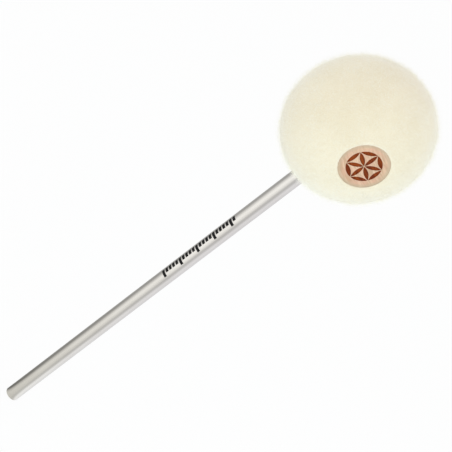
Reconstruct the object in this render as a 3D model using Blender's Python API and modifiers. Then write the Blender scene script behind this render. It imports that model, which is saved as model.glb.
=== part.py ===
"""Bass drum beater: a slightly flattened ball of hard felt on a wooden core, screwed to a round steel shaft.

Metres, +Z up. The origin is the centre of the shaft's lower end, which a pedal's clamp takes hold of, and the
shaft runs up +Z into the head. The core crosses the head along Y with a flat face at each side, and the felt
strikes the drum along X.
"""

import math

import bpy
from mathutils import Vector

# Driving dimensions of the head, in metres
HEAD_HEIGHT = 0.2010  # from the shaft's lower end up to the head's centre
HEAD_DIAMETER = 0.0620  # the felt ball across its equator
HEAD_THICKNESS = 0.0513  # the felt ball from pole to pole, along the core, before it is bored
CORE_DIAMETER = 0.0204
CORE_RECESS = 0.0010  # how far the core's faces lie inside the felt's rolled edges
CORE_CHAMFER = 0.0005
LIP_RADIUS = 0.0012  # the felt's rolled edge round each face of the core
ENTRY_RADIUS = 0.0010  # the felt's rolled edge where the shaft goes in

# Driving dimensions of the shaft
SHAFT_DIAMETER = 0.00635
SHAFT_CHAMFER = 0.0005  # at its lower end
THREAD_DIAMETER = 0.0055  # mean diameter of the screwed top end, modelled plain
THREAD_LENGTH = 0.0105
THREAD_CHAMFER = 0.0006
RELIEF_DIAMETER = 0.0046  # the groove where the thread runs out, above the shoulder
RELIEF_WIDTH = 0.0012

# Driving dimensions of the bush that the shaft screws into
INSERT_DIAMETER = 0.0088  # over its barbs
INSERT_LENGTH = 0.0115  # flange included
BARB_COUNT = 4
BARB_HEIGHT = 0.0004
FLANGE_DIAMETER = 0.0110
FLANGE_THICKNESS = 0.0010
FLANGE_SINK = 0.0002  # how far the flange's rim lies below the core's round side
MOUTH_CHAMFER = 0.0004

# Clearances
FIT = 0.0003  # between pieces that touch
OVERRUN = 0.0050  # how far a cutter goes past what it cuts
DRILL_POINT = math.radians(118)

# Facets round each turned piece
FELT_STEPS = 64
CORE_STEPS = 48
ROD_STEPS = 32

SHARP_EDGE = math.radians(30)

# Worked out from the driving dimensions
EQUATOR_RADIUS = HEAD_DIAMETER / 2
POLE_RADIUS = HEAD_THICKNESS / 2
CORE_RADIUS = CORE_DIAMETER / 2
BORE_RADIUS = CORE_RADIUS + FIT
SHAFT_RADIUS = SHAFT_DIAMETER / 2
CHANNEL_RADIUS = SHAFT_RADIUS + FIT
THREAD_RADIUS = THREAD_DIAMETER / 2
POCKET_RADIUS = INSERT_DIAMETER / 2 + FIT
SEAT_RADIUS = FLANGE_DIAMETER / 2 + FIT
RIM_DEPTH = CORE_RADIUS - math.sqrt(CORE_RADIUS**2 - (FLANGE_DIAMETER / 2) ** 2)
INSERT_HEIGHT = HEAD_HEIGHT - CORE_RADIUS + RIM_DEPTH + FLANGE_SINK
SEAT_HEIGHT = INSERT_HEIGHT + FLANGE_THICKNESS + FIT
SHOULDER_HEIGHT = INSERT_HEIGHT - FIT


def arc(centre, radius, start, end, steps):
    """Points round a centre, from one angle to another in radians, where 0 points outward and a quarter turn up."""
    angles = [start + (end - start) * i / steps for i in range(steps + 1)]
    return [centre + radius * Vector((math.cos(a), math.sin(a))) for a in angles]


def on_ball(angle):
    """A point on the ball's outline and its outward normal; angle 0 is the equator and a quarter turn the pole."""
    point = Vector((EQUATOR_RADIUS * math.cos(angle), POLE_RADIUS * math.sin(angle)))
    normal = Vector((POLE_RADIUS * math.cos(angle), EQUATOR_RADIUS * math.sin(angle)))
    return point, normal.normalized()


def lip_start():
    """The angle on the ball's outline where the rolled edge leaves it, tangent to the ball and to the bore."""
    low, high = 0.0, math.pi / 2
    for _ in range(40):
        angle = (low + high) / 2
        point, normal = on_ball(angle)
        if (point - LIP_RADIUS * normal).x > BORE_RADIUS + LIP_RADIUS:
            low = angle
        else:
            high = angle
    return angle


def lip_centre():
    point, normal = on_ball(lip_start())
    return point - LIP_RADIUS * normal


CORE_HALF_LENGTH = lip_centre().y + LIP_RADIUS - CORE_RECESS


def felt_profile(ball_steps=36, lip_steps=6):
    """The felt's section: up over one rolled edge, round the ball and in over the other; the bore closes it."""
    start, centre = lip_start(), lip_centre()
    normal = on_ball(start)[1]
    roll = arc(centre, LIP_RADIUS, math.pi, math.atan2(normal.y, normal.x), lip_steps)
    angles = [start - 2 * start * i / ball_steps for i in range(1, ball_steps)]
    mirrored = [Vector((p.x, -p.y)) for p in reversed(roll)]
    return roll + [on_ball(a)[0] for a in angles] + mirrored


def entry_profile(roll_steps=5):
    """The shaft's channel through the felt, flared at the head's lower pole into a rolled edge."""
    flare_radius = CHANNEL_RADIUS + ENTRY_RADIUS
    fall = EQUATOR_RADIUS - EQUATOR_RADIUS * math.sqrt(1 - (flare_radius / POLE_RADIUS) ** 2)
    centre = Vector((flare_radius, -EQUATOR_RADIUS + fall + ENTRY_RADIUS))
    roll = arc(centre, ENTRY_RADIUS, math.pi, 1.5 * math.pi, roll_steps)
    bottom = -EQUATOR_RADIUS - OVERRUN
    return [Vector((0, 0)), Vector((CHANNEL_RADIUS, 0))] + roll + [
        Vector((flare_radius, bottom)),
        Vector((0, bottom)),
    ]


def core_profile():
    face = CORE_RADIUS - CORE_CHAMFER
    side = CORE_HALF_LENGTH - CORE_CHAMFER
    return [
        Vector((0, CORE_HALF_LENGTH)),
        Vector((face, CORE_HALF_LENGTH)),
        Vector((CORE_RADIUS, side)),
        Vector((CORE_RADIUS, -side)),
        Vector((face, -CORE_HALF_LENGTH)),
        Vector((0, -CORE_HALF_LENGTH)),
    ]


def pocket_profile():
    """The core's cross-drilled hole, from the drill's point down to the flat seat for the flange."""
    top = INSERT_HEIGHT + INSERT_LENGTH + FIT
    bottom = HEAD_HEIGHT - CORE_RADIUS - OVERRUN
    return [
        Vector((0, top + POCKET_RADIUS / math.tan(DRILL_POINT / 2))),
        Vector((POCKET_RADIUS, top)),
        Vector((POCKET_RADIUS, SEAT_HEIGHT)),
        Vector((SEAT_RADIUS, SEAT_HEIGHT)),
        Vector((SEAT_RADIUS, bottom)),
        Vector((0, bottom)),
    ]


def shaft_profile():
    top = SHOULDER_HEIGHT + THREAD_LENGTH
    relief = RELIEF_DIAMETER / 2
    return [
        Vector((0, top)),
        Vector((THREAD_RADIUS - THREAD_CHAMFER, top)),
        Vector((THREAD_RADIUS, top - THREAD_CHAMFER)),
        Vector((THREAD_RADIUS, SHOULDER_HEIGHT + RELIEF_WIDTH)),
        Vector((relief, SHOULDER_HEIGHT + RELIEF_WIDTH - (THREAD_RADIUS - relief))),
        Vector((relief, SHOULDER_HEIGHT)),
        Vector((SHAFT_RADIUS, SHOULDER_HEIGHT)),
        Vector((SHAFT_RADIUS, SHAFT_CHAMFER)),
        Vector((SHAFT_RADIUS - SHAFT_CHAMFER, 0)),
        Vector((0, 0)),
    ]


def insert_profile():
    """The bush from its top end down its barbs to the flange; its bore closes the section."""
    bore = THREAD_RADIUS + FIT
    crest = INSERT_DIAMETER / 2
    pitch = (INSERT_LENGTH - FLANGE_THICKNESS) / BARB_COUNT
    barbs = []
    for i in range(BARB_COUNT):
        top = INSERT_LENGTH - pitch * i
        barbs += [Vector((crest - BARB_HEIGHT, top)), Vector((crest, top - pitch + BARB_HEIGHT))]
    flange = FLANGE_DIAMETER / 2
    return [Vector((bore, INSERT_LENGTH))] + barbs + [
        Vector((crest - BARB_HEIGHT, FLANGE_THICKNESS)),
        Vector((flange, FLANGE_THICKNESS)),
        Vector((flange, 0)),
        Vector((bore + MOUTH_CHAMFER, 0)),
        Vector((bore, MOUTH_CHAMFER)),
    ]


def collection(name):
    made = bpy.data.collections.new(name)
    bpy.context.scene.collection.children.link(made)
    return made


def material(name, color, roughness, metallic=0.0):
    made = bpy.data.materials.new(name)
    made.use_nodes = True
    shader = made.node_tree.nodes["Principled BSDF"]
    shader.inputs["Base Color"].default_value = (*color, 1.0)
    shader.inputs["Roughness"].default_value = roughness
    shader.inputs["Metallic"].default_value = metallic
    return made


def turned(name, profile, steps, home, closed=False):
    """A piece turned round its own Z from a profile at +X, which runs down its outer side."""
    count = len(profile)
    edges = [(i, i + 1) for i in range(count - 1)] + ([(count - 1, 0)] if closed else [])
    mesh = bpy.data.meshes.new(name)
    mesh.from_pydata([(p.x, 0.0, p.y) for p in profile], edges, [])
    piece = bpy.data.objects.new(name, mesh)
    home.objects.link(piece)
    screw = piece.modifiers.new("Turn", "SCREW")
    screw.steps = screw.render_steps = steps
    screw.use_merge_vertices = True
    screw.merge_threshold = 0.00001
    return piece


def cut(piece, cutter):
    cutter.display_type = "WIRE"
    cutter.hide_render = True
    boolean = piece.modifiers.new("Cut", "BOOLEAN")
    boolean.object = cutter
    boolean.operation = "DIFFERENCE"
    boolean.solver = "EXACT"


def finish(piece, look):
    """Turns the modifiers into a plain mesh, so that its round sides shade smooth and its corners stay sharp."""
    depsgraph = bpy.context.evaluated_depsgraph_get()
    mesh = bpy.data.meshes.new_from_object(piece.evaluated_get(depsgraph))
    piece.modifiers.clear()
    piece.data = mesh
    mesh.shade_smooth()
    mesh.set_sharp_from_angle(angle=SHARP_EDGE)
    mesh.materials.clear()
    mesh.materials.append(look)


def main():
    for old in list(bpy.data.objects):
        bpy.data.objects.remove(old)
    beater = collection("bass_drum_beater")
    cutters = collection("cutters")

    # The core's axis: the felt and the core turn round it, lying along Y
    head = bpy.data.objects.new("head_centre", None)
    head.location.z = HEAD_HEIGHT
    head.rotation_euler.x = math.pi / 2
    beater.objects.link(head)

    felt = turned("felt_head", felt_profile(), FELT_STEPS, beater, closed=True)
    core = turned("wooden_core", core_profile(), CORE_STEPS, beater)
    felt.parent = core.parent = head

    insert = turned("threaded_insert", insert_profile(), ROD_STEPS, beater, closed=True)
    insert.location.z = INSERT_HEIGHT
    shaft = turned("shaft", shaft_profile(), ROD_STEPS, beater)

    channel = turned("shaft_channel_cutter", entry_profile(), ROD_STEPS, cutters)
    channel.location.z = HEAD_HEIGHT
    cut(felt, channel)
    cut(core, turned("insert_pocket_cutter", pocket_profile(), ROD_STEPS, cutters))

    finish(felt, material("cream_felt", (0.87, 0.81, 0.65), 0.95))
    finish(core, material("pale_hardwood", (0.69, 0.51, 0.36), 0.6))
    finish(insert, material("brass", (0.76, 0.57, 0.27), 0.35, metallic=1.0))
    finish(shaft, material("plated_steel", (0.77, 0.77, 0.76), 0.18, metallic=1.0))


main()
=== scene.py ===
# Bass drum beater: a cream felt ball on a hardwood core, on a bright round steel rod.
import math

import bmesh
import bpy
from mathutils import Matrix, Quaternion, Vector


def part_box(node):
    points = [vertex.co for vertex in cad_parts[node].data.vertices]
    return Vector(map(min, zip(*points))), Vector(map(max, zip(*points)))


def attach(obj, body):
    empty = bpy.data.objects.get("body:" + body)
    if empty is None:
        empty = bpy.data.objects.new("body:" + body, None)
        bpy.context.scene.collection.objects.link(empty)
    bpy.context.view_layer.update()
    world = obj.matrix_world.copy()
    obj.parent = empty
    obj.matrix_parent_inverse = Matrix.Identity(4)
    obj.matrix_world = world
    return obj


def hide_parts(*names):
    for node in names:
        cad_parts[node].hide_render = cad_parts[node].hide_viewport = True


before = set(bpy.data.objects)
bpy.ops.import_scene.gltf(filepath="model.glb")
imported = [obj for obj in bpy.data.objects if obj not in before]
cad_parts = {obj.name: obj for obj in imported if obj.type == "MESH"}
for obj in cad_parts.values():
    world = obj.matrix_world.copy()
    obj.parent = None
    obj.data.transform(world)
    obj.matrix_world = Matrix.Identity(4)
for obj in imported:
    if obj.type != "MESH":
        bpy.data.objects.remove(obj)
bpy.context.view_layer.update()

mm = 0.001
sliverWidth = 0.001 * mm  # a face narrower than this has no area to speak of
print("frame loaded", sorted(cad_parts))


# A wire is one output socket: arithmetic on it adds Math nodes, and make adds any other node

class Wire:
    def __init__(self, tree, end=None):
        self.tree = tree
        self.end = end

    def make(self, kind, sockets=None, out=0, stops=None, **settings):
        node = self.tree.nodes.new(kind)
        for name, value in settings.items():
            setattr(node, name, value)
        if stops:
            ramp = node.color_ramp.elements
            for _ in range(len(stops) - len(ramp)):
                ramp.new(1.0)
            for element, (place, shade) in zip(ramp, stops):
                element.position = place
                element.color = shade
        for name, value in (sockets or {}).items():
            if isinstance(value, Wire):
                self.tree.links.new(value.end, node.inputs[name])
            else:
                node.inputs[name].default_value = value
        return Wire(self.tree, node.outputs[out])

    def out(self, name):  # another output of the same node
        return Wire(self.tree, self.end.node.outputs[name])

    def into(self, node, name):
        self.tree.links.new(self.end, node.inputs[name])

    def math(self, operation, *values, clamp=False):
        return self.make("ShaderNodeMath", dict(enumerate(values)), operation=operation, use_clamp=clamp)

    def __add__(self, other):
        return self.math("ADD", self, other)

    def __sub__(self, other):
        return self.math("SUBTRACT", self, other)

    def __mul__(self, other):
        return self.math("MULTIPLY", self, other)

    def __truediv__(self, other):
        return self.math("DIVIDE", self, other)

    def __radd__(self, other):
        return self.math("ADD", other, self)

    def __rsub__(self, other):
        return self.math("SUBTRACT", other, self)

    def __rmul__(self, other):
        return self.math("MULTIPLY", other, self)

    def __rtruediv__(self, other):
        return self.math("DIVIDE", other, self)

    def __gt__(self, other):
        return self.math("GREATER_THAN", self, other)

    def __lt__(self, other):
        return self.math("LESS_THAN", self, other)

    def axis(self, name):
        return self.make("ShaderNodeSeparateXYZ", {"Vector": self}, out=name)

    def vector(self, x=0.0, y=0.0, z=0.0):
        return self.make("ShaderNodeCombineXYZ", {"X": x, "Y": y, "Z": z})

    def length(self, x, y):
        return self.math("SQRT", x * x + y * y)

    def scaled(self, amount):
        return self.make("ShaderNodeVectorMath", {0: self, "Scale": amount}, operation="SCALE")

    def smooth(self, low, high):  # 0 below low, 1 above high, with a soft step between
        sockets = {"Value": self, "From Min": low, "From Max": high}
        return self.make("ShaderNodeMapRange", sockets, interpolation_type="SMOOTHSTEP")

    def noise(self, size, detail=2.0, roughness=0.5, stretch=None):  # about 0 to 1, in grains of that size
        place = self
        if stretch:
            place = self.make("ShaderNodeVectorMath", {0: self, 1: stretch}, operation="MULTIPLY")
        sockets = {"Vector": place, "Scale": 1 / size, "Detail": detail, "Roughness": roughness}
        return self.make("ShaderNodeTexNoise", sockets)

    def mix(self, low, high):  # the colour low where this is 0 and high where it is 1
        return self.make("ShaderNodeMix", {0: self, 6: low, 7: high}, out=2, data_type="RGBA")


def light(value):  # one channel read off a screen, 0 to 255, as light
    value = value / 255
    return value / 12.92 if value < 0.04045 else ((value + 0.055) / 1.055) ** 2.4


def colour(red, green, blue):
    return (light(red), light(green), light(blue), 1.0)


def newMaterial(name, fixed):  # the material, its shader with its fixed values, and its Object coordinates
    made = bpy.data.materials.new(name)
    made.use_nodes = True
    shader = made.node_tree.nodes["Principled BSDF"]
    for label, value in fixed.items():
        shader.inputs[label].default_value = value
    place = Wire(made.node_tree).make("ShaderNodeTexCoord", out="Object")
    return made, shader, place


def bump(height, depth):  # a normal from a height of 0 to 1 and its depth in metres
    return height.make("ShaderNodeBump", {"Height": height, "Distance": depth, "Strength": 1.0})


# Geometry trees, and the meshes that they grow

def newTree(name, sizes):  # the tree, and a wire for each of its inputs
    tree = bpy.data.node_groups.new(name, "GeometryNodeTree")
    tree.interface.new_socket("Geometry", in_out="INPUT", socket_type="NodeSocketGeometry")
    for label, value in sizes.items():
        kind = "NodeSocketInt" if isinstance(value, int) else "NodeSocketFloat"
        tree.interface.new_socket(label, in_out="INPUT", socket_type=kind).default_value = value
    tree.interface.new_socket("Geometry", in_out="OUTPUT", socket_type="NodeSocketGeometry")
    entry = tree.nodes.new("NodeGroupInput")
    return tree, {socket.name: Wire(tree, socket) for socket in entry.outputs if socket.name}


def closeTree(geometry, material):
    real = geometry.make("GeometryNodeRealizeInstances", {"Geometry": geometry})
    done = real.make("GeometryNodeSetMaterial", {"Geometry": real, "Material": material})
    done.into(done.tree.nodes.new("NodeGroupOutput"), "Geometry")
    return done.tree


def inputs(sizes):  # the entries that a tree takes are the capitalised ones
    return {label: value for label, value in sizes.items() if label[0].isupper()}


def plainMesh(piece, material):  # the piece's modifiers turned into its mesh, with one material
    bpy.context.view_layer.update()
    depsgraph = bpy.context.evaluated_depsgraph_get()
    mesh = bpy.data.meshes.new_from_object(piece.evaluated_get(depsgraph))
    piece.modifiers.clear()
    piece.data = mesh
    mesh.name = piece.name
    mesh.materials.clear()
    mesh.materials.append(material)
    mesh.polygons.foreach_set("material_index", [0] * len(mesh.polygons))
    return piece


def newObject(name, mesh):
    piece = bpy.data.objects.new(name, mesh)
    bpy.context.scene.collection.objects.link(piece)
    return piece


def grow(name, tree, sizes, start, material):
    piece = newObject(name, start)
    modifier = piece.modifiers.new(tree.name, "NODES")
    modifier.node_group = tree
    for item in tree.interface.items_tree:
        if item.in_out == "INPUT" and item.name in sizes:
            modifier[item.identifier] = sizes[item.name]
    plainMesh(piece, material)
    piece.data.shade_smooth()
    return piece


def trimSlivers(piece):  # splits the faces into triangles and takes out those without area, left by cuts
    shape = bmesh.new()
    shape.from_mesh(piece.data)
    bmesh.ops.triangulate(shape, faces=shape.faces, ngon_method="BEAUTY")
    bmesh.ops.dissolve_degenerate(shape, dist=sliverWidth, edges=shape.edges)
    shape.to_mesh(piece.data)
    shape.free()


def cutBy(piece, cutter):
    boolean = piece.modifiers.new("cut", "BOOLEAN")
    boolean.object = cutter
    boolean.solver = "EXACT"
    plainMesh(piece, piece.data.materials[0])
    bpy.data.objects.remove(cutter)


# The lathe turns a section, radius along X and height along Z, that runs up its outer side

lathe = {"Steps": 96, "Tilt": 0.0, "Lift": 0.0}
sharpAngle = math.radians(35)  # edges that turn by more than this stay crisp


def latheTree(material):
    tree, given = newTree("lathe", lathe)
    section = given["Geometry"]
    rows = section.make("GeometryNodeAttributeDomainSize", {"Geometry": section}, out="Point Count")
    grid = section.make("GeometryNodeMeshGrid", {
        "Size X": 1.0, "Size Y": 1.0, "Vertices X": given["Steps"] + 1, "Vertices Y": rows})
    place = grid.make("GeometryNodeInputPosition")
    angle = (place.axis("X") + 0.5) * math.tau
    row = grid.math("ROUND", (place.axis("Y") + 0.5) * (rows - 1))
    point = grid.make("GeometryNodeSampleIndex", {
        "Geometry": section, "Value": place, "Index": row}, data_type="FLOAT_VECTOR")
    radius = point.axis("X")
    swung = grid.vector(
        radius * grid.math("COSINE", angle), radius * grid.math("SINE", angle), point.axis("Z"))
    shaped = grid.make("GeometryNodeSetPosition", {"Geometry": grid, "Position": swung})
    joined = grid.make("GeometryNodeMergeByDistance", {"Geometry": shaped, "Distance": 0.002 * mm})
    placed = grid.make("GeometryNodeTransform", {
        "Geometry": joined, "Rotation": grid.vector(x=given["Tilt"]),
        "Translation": grid.vector(z=given["Lift"])})
    return closeTree(placed, material)


def arc(centre, radius, start, end, steps):  # points round a centre, in degrees from outwards towards up
    angles = [math.radians(start + (end - start) * i / steps) for i in range(steps + 1)]
    return [Vector(centre) + radius * Vector((math.cos(a), math.sin(a))) for a in angles]


def turned(name, points, material, steps, tilt=0.0, lift=0.0):
    section = bpy.data.meshes.new(name)
    section.from_pydata([(p[0], 0, p[1]) for p in points], [(i, i + 1) for i in range(len(points) - 1)], [])
    sizes = {"Steps": steps, "Tilt": tilt, "Lift": lift}
    piece = grow(name, latheTree(material), sizes, section, material)
    piece.data.set_sharp_from_angle(angle=sharpAngle)
    return piece


# What the frame gives

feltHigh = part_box("felt_head")[1]
coreLow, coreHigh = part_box("wooden_core")
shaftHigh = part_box("shaft")[1]
bushLow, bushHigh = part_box("threaded_insert")
headHeight = (coreLow.z + coreHigh.z) / 2
coreRadius = coreHigh.x
coreHalf = coreHigh.y
shaftRadius = shaftHigh.x


# The felt head: a dense ball turned round the core's axis, with layers of short nap and longer fuzz on it

feltBall = {
    "thickness": 51.3 * mm,  # pole to pole, over the nap, before the bore is cut
    "napDepth": 0.95 * mm,  # from there in to the dense felt
    "lipRadius": 1.2 * mm,
    "lipSteps": 10,
    "lipOverlap": 0.22 * mm,  # how far the lip reaches over the core's broken edge
    "lipGap": 0.03 * mm,  # between the lip and the core's face
    "boreStart": 0.7,  # of the core's edge radius, down from its face to where the bore begins
    "boreRows": 12,
    "rows": 150,
    "steps": 420,
    "Lump Height": 0.16 * mm,
    "Lump Size": 9.0 * mm,
    "Nap Height": 0.16 * mm,
    "Nap Size": 1.3 * mm,
    "Channel Radius": shaftRadius + 0.05 * mm,
    "Entry Roll": 0.6 * mm,
    "Bore Radius": coreRadius + 0.05 * mm,
    "Head Height": headHeight,
    "cream": colour(242, 233, 210),
    "shade": colour(232, 221, 194),
    "wisp": colour(250, 247, 233),
    "loose": colour(252, 251, 243),
    "cloudSize": 14 * mm,
    "woolCloudSize": 5 * mm,
    "mattedSize": 1.6 * mm,
    "swirlSize": 1.2 * mm,
    "swirlReach": 0.9 * mm,
    "strandWidth": 0.13 * mm,
    "strandLies": ((1.0, 0.14, 1.0), (0.14, 1.0, 1.0), (1.0, 1.0, 0.14)),  # drawn out along Y, X and Z
    "relief": 0.15 * mm,
}
layerSeeds = 50  # from one layer's seed to the next one's
leastScale, mostScale = (0.4, 0.4, 0.4), (1.2, 1.2, 1.0)  # of a fibre, across twice and along
looseFibres = {
    "felt_nap": {
        "layers": 2,
        "Per Square Metre": 1.18e6,
        "Length": 1.5 * mm,
        "Thickness": 0.05 * mm,
        "Least Lean": 0.70,  # from upright, in radians
        "Most Lean": 1.45,
        "Bend": 0.35,
        "Curl": 0.22,
        "Off Core": 0.05 * mm,
        "Off Shaft": 0.1 * mm,
        "Head Height": headHeight,
        "Seed": 7,
    },
    "felt_fuzz": {
        "layers": 3,
        "Per Square Metre": 1.20e6,
        "Length": 3.0 * mm,
        "Thickness": 0.04 * mm,
        "Least Lean": 0.20,
        "Most Lean": 1.20,
        "Bend": 0.6,
        "Curl": 0.25,
        "Off Core": 0.6 * mm,
        "Off Shaft": 0.4 * mm,
        "Head Height": headHeight,
        "Seed": 21,
    },
}


def feltMaterial():
    fixed = {"Sheen Weight": 1.0, "Sheen Roughness": 0.5, "Specular IOR Level": 0.2}
    felt, shader, place = newMaterial("cream_felt", fixed)
    cloud = place.noise(feltBall["cloudSize"], detail=3.0)
    matted = place.noise(feltBall["mattedSize"], detail=4.0, roughness=0.65)

    # Fine strands lie three ways, and a swirl bends them
    sockets = {"Vector": place, "Scale": 1 / feltBall["swirlSize"]}
    swirl = place.make("ShaderNodeTexNoise", sockets, out="Color")
    bent = swirl.scaled(feltBall["swirlReach"])
    curled = place.make("ShaderNodeVectorMath", {0: place, 1: bent}, operation="ADD")
    width = feltBall["strandWidth"]
    strands = [curled.noise(width, detail=1.0, stretch=lie) for lie in feltBall["strandLies"]]
    strand = place.math("MAXIMUM", place.math("MAXIMUM", strands[0], strands[1]), strands[2])
    tone = cloud.smooth(0.3, 0.7) * 0.4 + matted.smooth(0.25, 0.75) * 0.3 + strand.smooth(0.45, 0.75) * 0.3
    base = tone.mix(feltBall["shade"], feltBall["cream"])
    (strand.smooth(0.66, 0.78) * 0.7).mix(base, feltBall["wisp"]).into(shader, "Base Color")
    (0.86 + 0.12 * matted).into(shader, "Roughness")
    bump(matted * 0.5 + strand * 0.5, feltBall["relief"]).into(shader, "Normal")
    return felt


def looseMaterial():
    loose, shader, place = newMaterial("loose_wool", {"Sheen Weight": 0.5, "Specular IOR Level": 0.2})
    tone = place.noise(feltBall["woolCloudSize"]).smooth(0.3, 0.7)
    tone.mix(feltBall["wisp"], feltBall["loose"]).into(shader, "Base Color")
    (0.85 + 0.10 * tone).into(shader, "Roughness")
    return loose


def feltSection():
    radius = feltHigh.x - feltBall["napDepth"]
    pole = feltBall["thickness"] / 2 - feltBall["napDepth"]
    lip = feltBall["lipRadius"]
    bore = feltBall["Bore Radius"]
    mouth = coreRadius - feltBall["lipOverlap"]
    rest = coreHalf + feltBall["lipGap"]

    def onBall(angle):
        normal = Vector((pole * math.cos(angle), radius * math.sin(angle))).normalized()
        return Vector((radius * math.cos(angle), pole * math.sin(angle))), normal

    low, high = 0.0, math.pi / 2
    for _ in range(40):  # halving finds where the lip leaves the ball, to end on the core at the mouth
        start = (low + high) / 2
        point, normal = onBall(start)
        centre = point - lip * normal
        last = math.pi - math.asin(max(-1.0, min(1.0, (rest - centre.y) / lip)))
        outside = centre.x + lip * math.cos(last) > mouth
        low, high = (start, high) if outside else (low, start)
    first = math.atan2(normal.y, normal.x)
    roll = arc(centre, lip, math.degrees(first), math.degrees(last), feltBall["lipSteps"])
    rows = feltBall["rows"]
    side = [onBall(-start + 2 * start * i / rows)[0] for i in range(1, rows)]
    lower = [Vector((p.x, -p.y)) for p in reversed(roll)]
    deep = coreHalf - feltBall["boreStart"] * hardCore["edgeRadius"]
    boreRows = feltBall["boreRows"]
    bored = [Vector((bore, deep * (1 - 2 * i / boreRows))) for i in range(boreRows + 1)]
    return lower + side + roll + bored + [lower[0]]


def feltingTree(material):
    tree, given = newTree("felting", inputs(feltBall))
    ball = given["Geometry"]
    place = ball.make("GeometryNodeInputPosition")
    normal = ball.make("GeometryNodeInputNormal")
    east, north, up = place.axis("X"), place.axis("Y"), place.axis("Z") - given["Head Height"]

    # The surface rises and falls softly, but not in the bore
    fromCore = ball.length(east, up)
    loose = (fromCore - given["Bore Radius"]).smooth(0.2 * mm, 3.0 * mm)
    lumps = ball.make("ShaderNodeTexNoise", {
        "Vector": place, "Scale": 1 / given["Lump Size"], "Detail": 1.0}) - 0.5
    nap = ball.make("ShaderNodeTexNoise", {
        "Vector": place, "Scale": 1 / given["Nap Size"], "Detail": 3.0, "Roughness": 0.6}) - 0.5
    rise = (lumps * given["Lump Height"] + nap * given["Nap Height"]) * 2 * loose
    felted = ball.make("GeometryNodeSetPosition", {"Geometry": ball, "Offset": normal.scaled(rise)})

    # It rolls in where the shaft enters from below
    roll = given["Entry Roll"]
    inward = given["Channel Radius"] + roll - ball.length(east, north)
    inward = ball.math("MINIMUM", ball.math("MAXIMUM", inward, 0.0), roll)
    lift = (roll - ball.math("SQRT", roll * roll - inward * inward)) * (up < -2 * given["Bore Radius"])
    rolled = ball.make("GeometryNodeSetPosition", {"Geometry": felted, "Offset": ball.vector(z=lift)})

    # The shaft's channel runs from below the ball up into the core's bore
    rod = ball.make("GeometryNodeMeshCylinder", {
        "Vertices": 64, "Radius": given["Channel Radius"], "Depth": given["Head Height"]})
    raised = ball.make("GeometryNodeTransform", {
        "Geometry": rod, "Translation": ball.vector(z=given["Head Height"] / 2)})
    bored = ball.make("GeometryNodeMeshBoolean", {"Mesh 1": rolled, "Mesh 2": raised},
                      operation="DIFFERENCE", solver="EXACT")
    return closeTree(bored, material)


def fibreTree(material):
    tree, given = newTree("loose_fibres", inputs(looseFibres["felt_nap"]))
    skin = given["Geometry"]
    place = skin.make("GeometryNodeInputPosition")
    east, north, up = place.axis("X"), place.axis("Y"), place.axis("Z") - given["Head Height"]
    fromShaft = skin.length(east, north) + (up > 0)  # above the head's middle nothing is near the shaft
    outside = skin.length(east, up) > coreRadius + given["Off Core"]
    outside = outside * (fromShaft > shaftRadius + given["Off Shaft"])
    roots = skin.make("GeometryNodeDistributePointsOnFaces", {
        "Mesh": skin, "Selection": outside, "Density": given["Per Square Metre"], "Seed": given["Seed"]})

    # One tapered three-sided fibre, curled and bent towards its tip
    length = given["Length"]
    fibre = skin.make("GeometryNodeMeshCone", {
        "Vertices": 3, "Side Segments": 3, "Radius Top": 0.0, "Radius Bottom": given["Thickness"] / 2,
        "Depth": length})
    along = place.axis("Z") / length
    bend = along * along * length * given["Bend"]
    curl = skin.math("SINE", along * math.pi * 1.5) * length * given["Curl"]
    fibre = skin.make("GeometryNodeSetPosition", {"Geometry": fibre, "Offset": skin.vector(x=bend, y=curl)})

    def anyOf(least, most, draw):  # a random vector for each fibre
        sockets = {"Min": least, "Max": most, "Seed": given["Seed"] + draw}
        return skin.make("FunctionNodeRandomValue", sockets, data_type="FLOAT_VECTOR")

    # Each leans out of the skin, turned any way, and varies in size
    lean = anyOf(skin.vector(x=given["Least Lean"]), skin.vector(x=given["Most Lean"], z=math.tau), 1)
    spin = anyOf(skin.vector(), skin.vector(z=math.tau), 2)
    turn = roots.out("Rotation")
    for step in (lean, spin):
        sockets = {"Rotation": turn, "Rotate By": step}
        turn = skin.make("FunctionNodeRotateRotation", sockets, rotation_space="LOCAL")
    size = anyOf(skin.vector(*leastScale), skin.vector(*mostScale), 3)
    loose = skin.make("GeometryNodeInstanceOnPoints", {
        "Points": roots, "Instance": fibre, "Rotation": turn, "Scale": size})
    return closeTree(loose, material)


def makeFelt():
    felt = feltMaterial()
    blank = turned("felt_blank", feltSection(), felt, feltBall["steps"], tilt=math.pi / 2, lift=headHeight)
    ball = grow("felt_ball", feltingTree(felt), inputs(feltBall), blank.data, felt)
    bpy.data.objects.remove(blank)
    skin = ball.data.copy()  # untrimmed, for the fibres to grow on
    trimSlivers(ball)
    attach(ball, "root")
    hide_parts("felt_head")
    loose = looseMaterial()
    tree = fibreTree(loose)
    for name, sizes in looseFibres.items():
        for layer in range(sizes["layers"]):
            seeded = inputs(sizes) | {"Seed": sizes["Seed"] + layerSeeds * layer}
            fibres = grow(f"{name}_{layer + 1}", tree, seeded, skin.copy(), loose)
            fibres.data.shade_flat()
            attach(fibres, "root")
            print(fibres.name, len(fibres.data.polygons), "faces")
    print("felt ball", len(ball.data.polygons), "faces")


# The hardwood core, with a daisy wheel burnt into its front face

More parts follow.
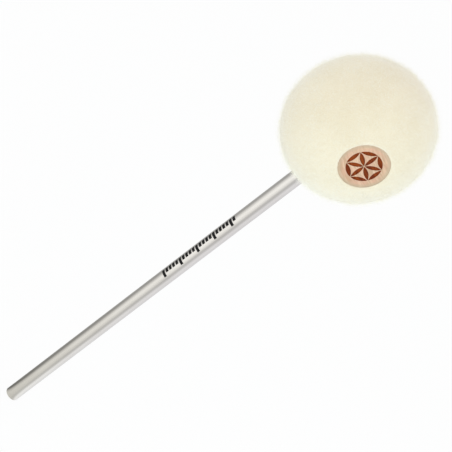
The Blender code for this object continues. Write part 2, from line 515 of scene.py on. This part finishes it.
hardCore = {
    "steps": 160,
    "edgeRadius": 0.5 * mm,
    "sharpAngle": math.radians(30),
    "pocketSteps": 64,
    "pocketGap": 0.05 * mm,
    "flangeThickness": 1.0 * mm,  # of the bush's flange, which sits in the pocket's mouth
    "barrelRadius": 4.4 * mm,
    "drillPoint": math.radians(118),
    "cutterRun": 5 * mm,  # how far the pocket's cutter starts below the core
    "pith": (0.021, 0.052),  # the tree's middle, from the core's, along X and Z
    "pithReach": 0.056,  # how far off it is, which turns a bearing from it into a length
    "streakWidth": 0.8 * mm,
    "waver": 2.4 * mm,  # how far the rings wander, in bends of the next size
    "waverSize": 8 * mm,
    "rayWidth": 0.30 * mm,
    "poreWidth": 0.24 * mm,
    "rosySize": 4 * mm,
    "edgeShadeBand": (0.80, 0.93, 0.975, 0.99),  # of the radius: the painted shade at the edge starts, is full, fades and ends
    "relief": 0.04 * mm,
    "wood": colour(227, 195, 166),
    "late": colour(192, 152, 122),
    "streak": colour(184, 156, 130),
    "rosy": colour(222, 176, 152),
    "pore": colour(184, 146, 117),
    # the painted shade of the felt's lip, in a ring at the face's edge
    "worn": colour(191, 174, 148),
}
burntMark = {
    "radius": 7.0 * mm,
    "share": 0.955,  # of a full petal, which would touch its neighbours
    "depth": 0.18 * mm,
    "within": 0.8,  # of the core's radius, outside which nothing is burnt
    "cutterRun": 1 * mm,  # how far its cutter starts outside the face, and how deep the burnt tone may go
    "burnt": colour(152, 70, 16),
    "charred": colour(94, 27, 2),
}


def woodMaterial():
    wood, shader, place = newMaterial("pale_hardwood", {"Specular IOR Level": 0.12})
    east, up = place.axis("X"), place.axis("Z") - headHeight
    pith = hardCore["pith"]
    waver = (place.noise(hardCore["waverSize"]) - 0.5) * hardCore["waver"]
    fromPith = place.length(east - pith[0], up - pith[1]) + waver
    roundPith = place.math("ARCTAN2", up - pith[1], east - pith[0]) * hardCore["pithReach"]
    width = hardCore["streakWidth"]
    across = place.vector(fromPith, roundPith * 0.07, place.axis("Y") * 0.05)
    band = across.noise(3 * width, detail=1.0).smooth(0.35, 0.65)
    late = across.noise(width, detail=2.0).smooth(0.36, 0.64)
    hair = across.noise(0.35 * width, detail=2.0).smooth(0.45, 0.65)
    ray = place.vector(fromPith * 0.06, roundPith, place.axis("Y") * 0.08).noise(hardCore["rayWidth"])
    pore = place.noise(hardCore["poreWidth"], detail=1.0, stretch=(1.0, 0.02, 1.0)).smooth(0.60, 0.74)
    grain = (late * 0.6 + ray * 0.2).mix(hardCore["wood"], hardCore["late"])
    grain = (hair * (0.2 + 0.5 * band)).mix(grain, hardCore["streak"])
    grain = (place.noise(hardCore["rosySize"]).smooth(0.45, 0.65) * 0.5).mix(grain, hardCore["rosy"])
    grain = (pore * 0.5).mix(grain, hardCore["pore"])

    # Painted shade: the face is a little darker and greyer in a ring just inside its edge, standing in for
    # the shade of the felt's lip over it
    out = place.length(east, up)
    start, full, fade, end = [share * coreRadius for share in hardCore["edgeShadeBand"]]
    edge = out.smooth(start, full) - out.smooth(fade, end)
    grain = (edge * (0.35 + 0.5 * ray)).mix(grain, hardCore["worn"])

    # Whatever lies below the front face inside its edge is burnt
    below = place.axis("Y") + coreHalf
    burnt = below.smooth(0.02 * mm, 0.8 * burntMark["depth"]) * (below < burntMark["cutterRun"])
    burnt = burnt * (out < burntMark["within"] * coreRadius)
    char = (late * 0.5 + ray * 0.6).mix(burntMark["burnt"], burntMark["charred"])
    burnt.mix(grain, char).into(shader, "Base Color")
    (0.55 + 0.12 * ray + 0.15 * burnt).into(shader, "Roughness")
    bump(ray * 0.6 + (1 - pore) * 0.4, hardCore["relief"]).into(shader, "Normal")
    return wood


def petal(reach, bearing, lie, steps=14):  # two arcs round a middle at that reach, lying along lie
    full, share = burntMark["radius"], burntMark["share"]
    half = []
    for i in range(steps + 1):
        angle = math.radians(120 - 60 * i / steps)
        half.append((full * math.cos(angle), full * (math.sin(angle) - math.sin(math.pi / 3))))
    loop = half + [(along, -side) for along, side in reversed(half[1:-1])]
    middle = Vector((math.cos(bearing), math.sin(bearing))) * reach
    cos, sin = math.cos(lie) * share, math.sin(lie) * share
    return [(middle.x + a * cos - b * sin, middle.y + a * sin + b * cos) for a, b in loop]


def markCutter():  # the six petals from the middle and the six between their tips, as flat-ended solids
    full = burntMark["radius"]
    loops = []
    for i in range(6):
        spoke = math.radians(90 + 60 * i)
        between = spoke + math.radians(30)
        loops.append(petal(full / 2, spoke, spoke))
        loops.append(petal(full * math.cos(math.pi / 6), between, between + math.pi / 2))
    near, far = -coreHalf - burntMark["cutterRun"], -coreHalf + burntMark["depth"]
    shape = bmesh.new()
    for loop in loops:
        face = shape.faces.new([shape.verts.new((x, near, headHeight + z)) for x, z in loop])
        grown = bmesh.ops.extrude_face_region(shape, geom=[face])["geom"]
        moved = [v for v in grown if isinstance(v, bmesh.types.BMVert)]
        bmesh.ops.translate(shape, verts=moved, vec=(0, far - near, 0))
    bmesh.ops.recalc_face_normals(shape, faces=shape.faces)
    mesh = bpy.data.meshes.new("mark_cutter")
    shape.to_mesh(mesh)
    shape.free()
    return newObject("mark_cutter", mesh)


def makeCore():
    wood = woodMaterial()
    edge = hardCore["edgeRadius"]
    top = arc((coreRadius - edge, coreHalf - edge), edge, 0, 90, 6)
    lower = [Vector((p.x, -p.y)) for p in reversed(top)]
    section = [(0, -coreHalf)] + lower + top + [(0, coreHalf)]
    core = turned("core_dowel", section, wood, hardCore["steps"], tilt=math.pi / 2, lift=headHeight)

    gap = hardCore["pocketGap"]
    flange = bushHigh.x + gap
    barrel = hardCore["barrelRadius"] + gap
    seat = bushLow.z + hardCore["flangeThickness"] + gap
    roof = bushHigh.z + gap
    mouth = coreLow.z - hardCore["cutterRun"]
    drill = barrel / math.tan(hardCore["drillPoint"] / 2)
    pocket = [(0, mouth), (flange, mouth), (flange, seat), (barrel, seat), (barrel, roof), (0, roof + drill)]
    cutBy(core, turned("pocket_cutter", pocket, None, hardCore["pocketSteps"]))
    cutBy(core, markCutter())
    trimSlivers(core)
    core.data.shade_smooth()
    core.data.set_sharp_from_angle(angle=hardCore["sharpAngle"])
    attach(core, "root")
    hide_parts("wooden_core")
    print("core", len(core.data.polygons), "faces")


# The steel rod, threaded at its top, with a scale of black marks below the head

shoulderGap = 0.05 * mm  # between the rod's shoulder and the bush
reliefWidth = 1.2 * mm  # of the groove where the thread runs out
threadChamfer = 0.6 * mm
shoulder = bushLow.z - shoulderGap
steelRod = {
    "tipRadius": 0.6 * mm,
    "steps": 128,
    "shoulderChamfer": 0.3 * mm,
    "reliefRadius": 2.3 * mm,
    "reliefSlope": 0.4 * mm,  # how far up the groove slopes out to the crests
    "rowsPerTurn": 8,
    "Crest Radius": 2.95 * mm,
    "Thread Start": shoulder + reliefWidth,
    "Thread End": shaftHigh.z - threadChamfer,
    "Thread Pitch": 0.80 * mm,
    "Thread Depth": 0.43 * mm,
    "steel": colour(238, 236, 230),
    "dull": colour(226, 223, 216),
    "drawnWidth": 0.25 * mm,
    "smearSize": 16 * mm,
    "speckSize": 0.8 * mm,
    "relief": 0.003 * mm,
}
scaleMarks = {
    "Start": 97.6 * mm,  # height of the lowest mark
    "Pitch": 1.9 * mm,
    "Count": 22,
    "Every": 5,  # of them, one is long
    "Short": 2.1 * mm,  # a mark's length round the rod
    "Long": 3.4 * mm,
    "Width": 1.3 * mm,
    "Film": 0.02 * mm,
    "Side": math.radians(177),  # where round the rod the marks begin
    "Rod Radius": shaftRadius,
}


def steelMaterial():
    steel, shader, place = newMaterial("bright_steel", {"Metallic": 1.0})
    drawn = place.noise(steelRod["drawnWidth"], detail=3.0, roughness=0.6, stretch=(1.0, 1.0, 0.012))
    smear = place.noise(steelRod["smearSize"], detail=3.0).smooth(0.35, 0.75)
    speck = place.noise(steelRod["speckSize"]).smooth(0.68, 0.78)
    (smear * 0.5 + drawn * 0.35).mix(steelRod["steel"], steelRod["dull"]).into(shader, "Base Color")
    (0.10 + 0.06 * smear + 0.05 * drawn + 0.08 * speck).into(shader, "Roughness")
    bump(drawn, steelRod["relief"]).into(shader, "Normal")
    return steel


def inkMaterial():
    ink, shader, place = newMaterial("black_ink", {"Specular IOR Level": 0.2})
    worn = place.noise(0.5 * mm, detail=3.0)
    worn.smooth(0.62, 0.80).mix(colour(14, 14, 15), colour(60, 60, 62)).into(shader, "Base Color")
    (0.45 + 0.2 * worn).into(shader, "Roughness")
    return ink


def threadTree(material):  # cuts a helical groove into a plain turned end
    tree, given = newTree("thread", inputs(steelRod))
    rod = given["Geometry"]
    place = rod.make("GeometryNodeInputPosition")
    east, north, up = place.axis("X"), place.axis("Y"), place.axis("Z")
    out = rod.length(east, north)
    turns = (up - given["Thread Start"]) / given["Thread Pitch"] - rod.math("ARCTAN2", north, east) / math.tau
    groove = rod.math("PINGPONG", turns, 0.5) * 2 * given["Thread Depth"]
    ends = up.smooth(given["Thread Start"], given["Thread Start"] + given["Thread Pitch"])
    ends = ends * (1 - up.smooth(given["Thread End"], given["Thread End"] + given["Thread Pitch"] / 4))
    groove = groove * ends * (out > given["Crest Radius"] * 0.99)
    inward = rod.make("ShaderNodeVectorMath", {0: rod.vector(east, north)}, operation="NORMALIZE")
    cut = rod.make("GeometryNodeSetPosition", {"Geometry": rod, "Offset": inward.scaled(groove * -1)})
    return closeTree(cut, material)


def marksTree(material):  # bars up the rod, a long one every few, wrapped round it from one side
    tree, given = newTree("marks", scaleMarks)
    start = given["Geometry"]
    line = start.make("GeometryNodeMeshLine", {
        "Count": given["Count"], "Start Location": start.vector(z=given["Start"]),
        "Offset": start.vector(z=given["Pitch"])})
    index = start.make("GeometryNodeInputIndex")
    isLong = start.math("FLOORED_MODULO", index, given["Every"]) < 0.5
    length = given["Short"] + isLong * (given["Long"] - given["Short"])
    bar = start.make("GeometryNodeMeshCube", {"Vertices X": 11, "Vertices Y": 2, "Vertices Z": 2})
    bar = start.make("GeometryNodeTransform", {"Geometry": bar, "Translation": (0.5, 0, 0)})
    size = start.vector(length, given["Film"] * 2, given["Width"])
    bars = start.make("GeometryNodeInstanceOnPoints", {"Points": line, "Instance": bar, "Scale": size})
    flat = start.make("GeometryNodeRealizeInstances", {"Geometry": bars})
    place = start.make("GeometryNodeInputPosition")
    angle = given["Side"] + place.axis("X") / given["Rod Radius"]
    radius = given["Rod Radius"] - place.axis("Y")
    wrapped = start.vector(
        radius * start.math("COSINE", angle), radius * start.math("SINE", angle), place.axis("Z"))
    printed = start.make("GeometryNodeSetPosition", {"Geometry": flat, "Position": wrapped})
    return closeTree(printed, material)


def makeRod():
    steel = steelMaterial()
    tip = steelRod["tipRadius"]
    chamfer = steelRod["shoulderChamfer"]
    crest, groove = steelRod["Crest Radius"], steelRod["reliefRadius"]
    low, high = steelRod["Thread Start"], steelRod["Thread End"]
    end = arc((shaftRadius - tip, tip), tip, -90, 0, 8)
    neck = [(shaftRadius, shoulder - chamfer), (shaftRadius - chamfer, shoulder), (groove, shoulder),
            (groove, low - steelRod["reliefSlope"])]
    rows = round((high - low) / steelRod["Thread Pitch"] * steelRod["rowsPerTurn"])
    crests = [(crest, low + (high - low) * i / rows) for i in range(rows + 1)]
    section = [(0, 0)] + end + neck + crests + [(crest - threadChamfer, shaftHigh.z), (0, shaftHigh.z)]
    blank = turned("rod_blank", section, steel, steelRod["steps"])
    rod = grow("steel_rod", threadTree(steel), inputs(steelRod), blank.data, steel)
    bpy.data.objects.remove(blank)
    rod.data.set_sharp_from_angle(angle=sharpAngle)
    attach(rod, "root")
    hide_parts("shaft")
    ink = inkMaterial()
    marks = grow("scale_marks", marksTree(ink), scaleMarks, bpy.data.meshes.new("scale_marks"), ink)
    marks.data.set_sharp_from_angle(angle=sharpAngle)
    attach(marks, "root")
    print("rod", len(rod.data.polygons), "faces, marks", len(marks.data.polygons))


# The brass bush inside the core keeps its own shape

def dressBush():
    brass, shader, place = newMaterial("turned_brass", {"Metallic": 1.0})
    lines = place.noise(0.2 * mm, detail=2.0, stretch=(0.05, 0.05, 1.0))
    tarnish = place.noise(4 * mm, detail=3.0)
    tarnish.smooth(0.35, 0.75).mix(colour(214, 182, 116), colour(186, 148, 84)).into(shader, "Base Color")
    (0.24 + 0.14 * tarnish + 0.06 * lines).into(shader, "Roughness")
    bump(lines, 0.01 * mm).into(shader, "Normal")
    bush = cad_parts["threaded_insert"]
    bush.data.materials.clear()
    bush.data.materials.append(brass)
    print("bush dressed")


# The studio: a white floor, a tent that only the steel sees, soft lamps and the camera

studio = {
    "floorSide": 8.0,
    "floor": (0.94, 0.965, 0.975, 1.0),
    "shadow": 0.09,  # the share of the floor's own light and shade that the camera sees
    "sky": 0.87,  # its strength on the object, where the camera and gloss see 1
    "lamps": {  # place, size in metres, power in watts, colour
        "low": ((0.25, -0.40, 0.01), 0.5, 0.95, (0.68, 0.95, 1.0)),
        "left": ((-0.75, -0.45, 0.04), 0.6, 1.2, (0.88, 1.0, 1.0)),
        "front": ((-0.25, -0.75, 0.66), 0.7, 0.9, (1.0, 0.985, 0.96)),
    },
}
view = {
    "place": (-0.31830, -0.50581, 0.41679),
    "bearing": 32.03,  # degrees from +Y towards +X
    "dip": 25.51,  # degrees below level
    "roll": 52.63,
    "lens": 131.49,
    "sensor": 36.0,
}
tent = {
    "radius": 1.5,
    "height": 1.5,
    "lift": 0.4 * mm,
    "far": 0.20,  # where the far tones are reached
    "power": 1.06,
    "steps": 64,
    # Degrees round the rod from the camera's side, and how bright the tent is there, near and far
    "tones": ((-180, 0.40, 0.50), (-130, 0.17, 0.40), (-100, 0.12, 0.38), (-82, 0.12, 0.56),
              (-64, 0.38, 0.75), (-48, 0.52, 0.93), (-30, 0.59, 1.00), (-2, 0.59, 0.85),
              (12, 0.60, 0.70), (26, 0.56, 0.55), (42, 0.60, 0.57), (58, 0.89, 0.73),
              (74, 0.98, 0.84), (92, 0.92, 0.82), (118, 0.83, 0.77), (180, 0.86, 0.77)),
    "warm": ((1.0, 0.99, 0.94, 1.0), (1.0, 0.992, 0.995, 1.0)),  # its tints on either side, near and far
    "cool": ((0.966, 0.98, 1.0, 1.0), (0.95, 0.945, 1.0, 1.0)),
}
toCamera = math.atan2(view["place"][1], view["place"][0])


def seenDirectly(path):  # 1 for camera, glossy and transmission rays
    path = path.make("ShaderNodeLightPath")
    seen = path.out("Is Camera Ray") + path.out("Is Glossy Ray")
    return path.math("ADD", seen, path.out("Is Transmission Ray"), clamp=True)


def floorMaterial():
    fixed = {"Base Color": studio["floor"], "Roughness": 0.9, "Specular IOR Level": 0.0}
    floor, shader, place = newMaterial("floor", fixed)
    glow = place.make("ShaderNodeEmission", {"Color": (1, 1, 1, 1), "Strength": 1.0})
    seen = seenDirectly(place) * (1 - studio["shadow"])
    lit = Wire(place.tree, shader.outputs["BSDF"])
    blend = place.make("ShaderNodeMixShader", {0: seen, 1: lit, 2: glow})
    blend.into(place.tree.nodes["Material Output"], "Surface")
    return floor


def tentMaterial():
    cloth, shader, place = newMaterial("tent", {})
    place.tree.nodes.remove(shader)
    east, north = place.axis("X"), place.axis("Y")
    cos, sin = math.cos(toCamera), math.sin(toCamera)
    angle = place.math("ARCTAN2", north * cos - east * sin, east * cos + north * sin)
    turn = angle / math.tau + 0.5
    near = [((degrees + 180) / 360, (tone, tone, tone, 1)) for degrees, tone, _ in tent["tones"]]
    far = [((degrees + 180) / 360, (tone, tone, tone, 1)) for degrees, _, tone in tent["tones"]]
    away = place.math("SQRT", place.length(east, north) / tent["far"], clamp=True)
    tone = away.mix(*[place.make("ShaderNodeValToRGB", {"Fac": turn}, stops=stops) for stops in (near, far)])
    tint = turn.smooth(0.50, 0.72).mix(away.mix(*tent["warm"]), away.mix(*tent["cool"]))
    tinted = place.make("ShaderNodeVectorMath", {0: tone, 1: tint}, operation="MULTIPLY")
    glow = place.make("ShaderNodeEmission", {"Color": tinted, "Strength": tent["power"]})
    glow.into(place.tree.nodes["Material Output"], "Surface")
    return cloth


def makeTent():
    radius, lift = tent["radius"], tent["lift"]
    section = [(0, lift), (radius, lift), (radius, tent["height"])]
    cloth = turned("tent", section, tentMaterial(), tent["steps"])
    cloth.visible_camera = False
    cloth.visible_diffuse = False
    cloth.visible_shadow = False


def makeStudio():
    side = studio["floorSide"] / 2
    corners = [(-side, -side, 0), (side, -side, 0), (side, side, 0), (-side, side, 0)]
    mesh = bpy.data.meshes.new("floor")
    mesh.from_pydata(corners, [], [(0, 1, 2, 3)])
    mesh.materials.append(floorMaterial())
    newObject("floor", mesh)
    makeTent()
    world = bpy.data.worlds.new("studio")
    bpy.context.scene.world = world
    world.use_nodes = True
    sky = world.node_tree.nodes["Background"]
    sky.inputs["Color"].default_value = (1, 1, 1, 1)
    seen = seenDirectly(Wire(world.node_tree))
    (seen * (1 - studio["sky"]) + studio["sky"]).into(sky, "Strength")
    aim = Vector((0, 0, headHeight))
    for name, (place, size, power, shade) in studio["lamps"].items():
        lamp = bpy.data.lights.new(name, "AREA")
        lamp.shape = "DISK"
        lamp.size = size
        lamp.energy = power
        lamp.color = shade
        holder = newObject(name, lamp)
        holder.location = place
        holder.rotation_euler = (aim - Vector(place)).to_track_quat("-Z", "Y").to_euler()
        holder.visible_camera = False
        holder.visible_glossy = False
    print("studio ready")


def makeCamera():
    camera = bpy.data.cameras.new("camera")
    camera.lens = view["lens"]
    camera.sensor_width = view["sensor"]
    camera.clip_start, camera.clip_end = 0.01, 20
    holder = newObject("camera", camera)
    bearing, dip = math.radians(view["bearing"]), math.radians(view["dip"])
    look = Vector((math.sin(bearing) * math.cos(dip), math.cos(bearing) * math.cos(dip), -math.sin(dip)))
    roll = Quaternion((0, 0, 1), math.radians(view["roll"]))
    holder.rotation_mode = "QUATERNION"
    holder.rotation_quaternion = look.to_track_quat("-Z", "Y") @ roll
    holder.location = view["place"]
    bpy.context.scene.camera = holder
    bpy.context.scene.view_settings.view_transform = "Standard"
    print("camera ready")


makeCamera()
makeFelt()
makeCore()
makeRod()
dressBush()
makeStudio()
